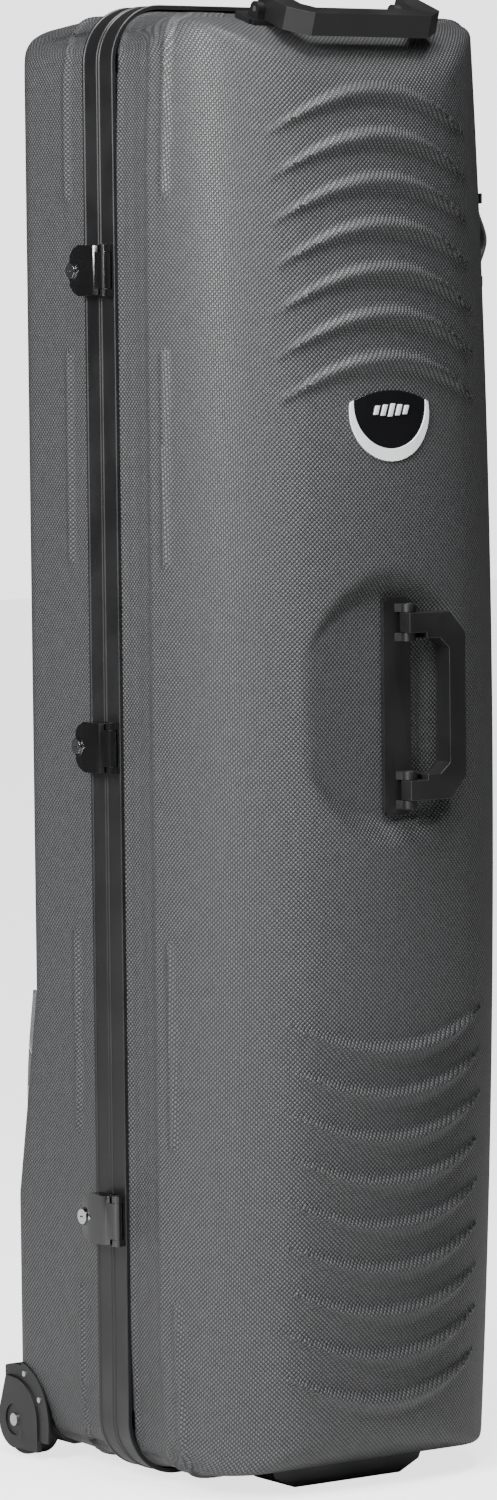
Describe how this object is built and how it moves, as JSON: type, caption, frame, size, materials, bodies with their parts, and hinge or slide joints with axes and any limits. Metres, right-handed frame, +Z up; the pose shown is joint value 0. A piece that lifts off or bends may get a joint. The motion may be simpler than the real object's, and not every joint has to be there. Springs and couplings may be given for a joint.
{
  "type": "wheeled hard carry case",
  "caption": "Tall upright hard-shell equipment case in two hinged halves with a black frame, side latches with locks, folding handles, rear wheels and a front foot.",
  "frame": {"origin": "on the ground under the middle of the case, at the bottom centre of its overall box", "axes": "+Z up along the case, -Y towards its front face with the handle, +X towards its hinged side"},
  "size_m": [0.3651, 0.402, 1.2841],
  "materials": {
    "shell": "embossed fine grain, charcoal",
    "frame": "satin black moulded frame",
    "seal": "soft black seal",
    "lining": "dark brushed lining on foam",
    "webbing": "black woven webbing",
    "buckle": "black moulded buckle",
    "handle": "satin black moulded plastic",
    "latch": "glossy black",
    "lock": "polished metal",
    "bright_metal": "plated steel",
    "hub": "dark grey moulded hub",
    "tyre": "smooth black tyre",
    "badge": "glossy black plate",
    "badge_trim": "bright silver trim"
  },
  "bodies": {
    "base": {"rear_shell": "shell", "rear_rail": "frame", "frame_seal": "seal", "rear_lining": "lining", "wheel_housing_left": "handle", "wheel_housing_right": "handle", "wheel_axle_left": "bright_metal", "wheel_axle_right": "bright_metal", "housing_rivets": "bright_metal", "hinge_leaves_rear": "latch", "hinge_pins": "bright_metal", "hinge_rivets_rear": "bright_metal", "latch_keepers": "latch", "keeper_rivets": "bright_metal", "tie_straps": "webbing", "tie_buckles": "buckle", "tie_anchors": "bright_metal"},
    "lid": {"lid_shell": "shell", "lid_rail": "frame", "lid_lining": "lining", "hinge_leaves_lid": "latch", "hinge_rivets_lid": "bright_metal", "front_handle_base": "handle", "front_handle_pins": "bright_metal", "front_handle_backing": "bright_metal", "front_handle_screws": "bright_metal", "top_handle_base": "handle", "top_handle_pins": "bright_metal", "top_handle_backing": "bright_metal", "top_handle_screws": "bright_metal", "badge_plate": "badge", "badge_ring": "badge_trim", "front_foot": "handle", "foot_screws": "bright_metal", "side_strap": "webbing", "strap_clamps": "handle", "latch_plates": "latch", "latch_pins": "bright_metal", "latch_rivets": "bright_metal"},
    "wheel_left": {"wheel_hub_left": "hub", "wheel_tyre_left": "tyre"},
    "wheel_right": {"wheel_hub_right": "hub", "wheel_tyre_right": "tyre"},
    "front_bail": {"front_handle_bail": "handle"},
    "top_bail": {"top_handle_bail": "handle"},
    "lever_upper": {"latch_lever_upper": "latch", "lock_marker_upper": "lock"},
    "lock_upper": {"lock_cylinder_upper": "lock"},
    "lever_middle": {"latch_lever_middle": "latch", "lock_marker_middle": "lock"},
    "lock_middle": {"lock_cylinder_middle": "lock"},
    "lever_lower": {"latch_lever_lower": "latch", "lock_marker_lower": "lock"},
    "lock_lower": {"lock_cylinder_lower": "lock"}
  },
  "joints": [
    {"name": "lid_hinge", "type": "hinge", "parent": "base", "child": "lid", "pos_m": [0.1746, 0.007, 0.642], "axis": [0, 0, 1], "range_deg": [0, 110]},
    {"name": "wheel_spin_left", "type": "hinge", "parent": "base", "child": "wheel_left", "pos_m": [-0.151, 0.169, 0.032], "axis": [1, 0, 0], "continuous": true},
    {"name": "wheel_spin_right", "type": "hinge", "parent": "base", "child": "wheel_right", "pos_m": [0.151, 0.169, 0.032], "axis": [1, 0, 0], "continuous": true},
    {"name": "front_handle_fold", "type": "hinge", "parent": "lid", "child": "front_bail", "pos_m": [0.012, -0.1885, 0.678], "axis": [0, 0, -1], "range_deg": [0, 90]},
    {"name": "top_handle_fold", "type": "hinge", "parent": "lid", "child": "top_bail", "pos_m": [0, -0.11155, 1.26976], "axis": [-1, 0, 0], "range_deg": [0, 90]},
    {"name": "latch_upper", "type": "hinge", "parent": "lid", "child": "lever_upper", "pos_m": [-0.177, -0.0135, 1.051], "axis": [0, 0, 1], "range_deg": [0, 100]},
    {"name": "lock_turn_upper", "type": "hinge", "parent": "lever_upper", "child": "lock_upper", "pos_m": [-0.18, 0.028, 1.051], "axis": [-1, 0, 0], "range_deg": [0, 90]},
    {"name": "latch_middle", "type": "hinge", "parent": "lid", "child": "lever_middle", "pos_m": [-0.177, -0.0135, 0.642], "axis": [0, 0, 1], "range_deg": [0, 100]},
    {"name": "lock_turn_middle", "type": "hinge", "parent": "lever_middle", "child": "lock_middle", "pos_m": [-0.18, 0.028, 0.642], "axis": [-1, 0, 0], "range_deg": [0, 90]},
    {"name": "latch_lower", "type": "hinge", "parent": "lid", "child": "lever_lower", "pos_m": [-0.177, -0.0135, 0.233], "axis": [0, 0, 1], "range_deg": [0, 100]},
    {"name": "lock_turn_lower", "type": "hinge", "parent": "lever_lower", "child": "lock_lower", "pos_m": [-0.18, 0.028, 0.233], "axis": [-1, 0, 0], "range_deg": [0, 90]}
  ]
}
